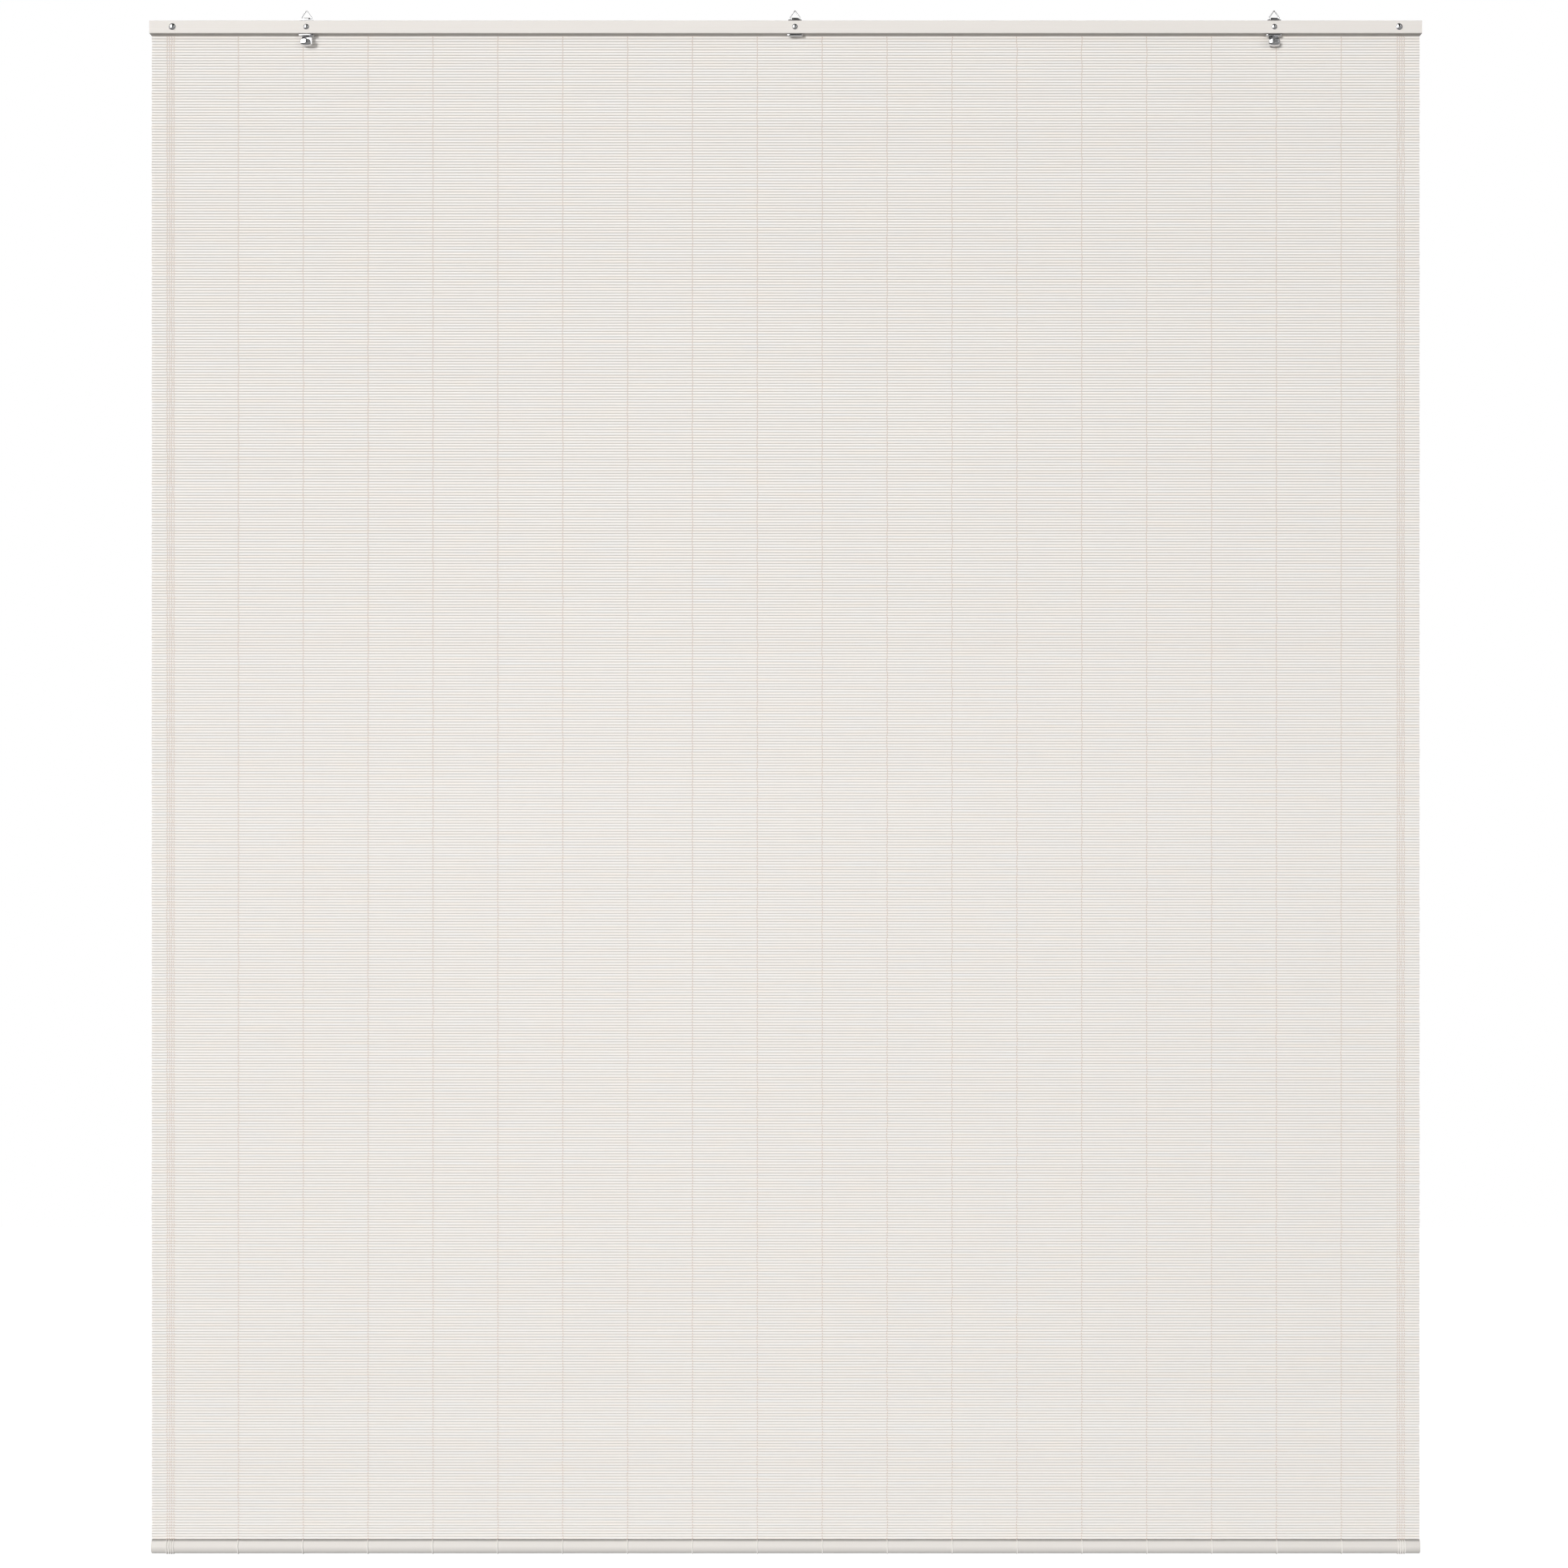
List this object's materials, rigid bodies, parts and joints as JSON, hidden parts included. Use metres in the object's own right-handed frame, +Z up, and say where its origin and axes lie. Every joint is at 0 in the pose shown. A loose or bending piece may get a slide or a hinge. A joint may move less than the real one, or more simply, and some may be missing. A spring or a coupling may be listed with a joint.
{
  "type": "bamboo roll-up blind",
  "caption": "White bamboo roll-up blind: a slat mat woven on strings, a clamped headrail with hang rings and roll hooks, and an oval bottom rod.",
  "frame": {"origin": "middle of the hanging line: halfway along the blind, at the height and depth where the three rings seat on their hooks", "axes": "+Z up the blind, +X to the right as seen from the front, the front faces -Y"},
  "size_m": [1.8, 0.027, 2.187],
  "materials": {
    "painted_slats": "thin white paint over split bamboo, satin",
    "painted_batten": "white painted softwood, satin, faint grain",
    "warp_cord": "twisted cotton cord",
    "bright_steel": "bright nickel-plated steel"
  },
  "bodies": {
    "blind": {"headrail_front": "painted_batten", "headrail_back": "painted_batten", "slat_mat": "painted_slats", "gripped_slats": "painted_slats", "bottom_rod": "painted_batten", "hanger_clip_left": "bright_steel", "hanger_clip_centre": "bright_steel", "hanger_clip_right": "bright_steel", "roll_hook_left": "bright_steel", "roll_hook_right": "bright_steel", "clip_nails": "bright_steel", "end_nails": "bright_steel", "warp_string_01": "warp_cord", "warp_string_02": "warp_cord", "warp_string_03": "warp_cord", "warp_string_04": "warp_cord", "warp_string_05": "warp_cord", "warp_string_06": "warp_cord", "warp_string_07": "warp_cord", "warp_string_08": "warp_cord", "warp_string_09": "warp_cord", "warp_string_10": "warp_cord", "warp_string_11": "warp_cord", "warp_string_12": "warp_cord", "warp_string_13": "warp_cord", "warp_string_14": "warp_cord", "warp_string_15": "warp_cord", "warp_string_16": "warp_cord", "warp_string_17": "warp_cord", "warp_string_18": "warp_cord", "warp_string_19": "warp_cord", "warp_string_20": "warp_cord", "warp_string_21": "warp_cord", "warp_string_22": "warp_cord", "warp_string_23": "warp_cord", "warp_string_24": "warp_cord", "warp_string_25": "warp_cord", "warp_string_26": "warp_cord"},
    "ring_left": {"hang_ring_left": "bright_steel"},
    "ring_centre": {"hang_ring_centre": "bright_steel"},
    "ring_right": {"hang_ring_right": "bright_steel"}
  },
  "joints": [
    {"name": "ring_left_swing", "type": "hinge", "parent": "blind", "child": "ring_left", "pos_m": [-0.678, 0, -0.01064], "axis": [1, 0, 0], "range_deg": [-90, 90]},
    {"name": "ring_centre_swing", "type": "hinge", "parent": "blind", "child": "ring_centre", "pos_m": [0.013, 0, -0.01064], "axis": [1, 0, 0], "range_deg": [-90, 90]},
    {"name": "ring_right_swing", "type": "hinge", "parent": "blind", "child": "ring_right", "pos_m": [0.691, 0, -0.01064], "axis": [1, 0, 0], "range_deg": [-90, 90]}
  ]
}
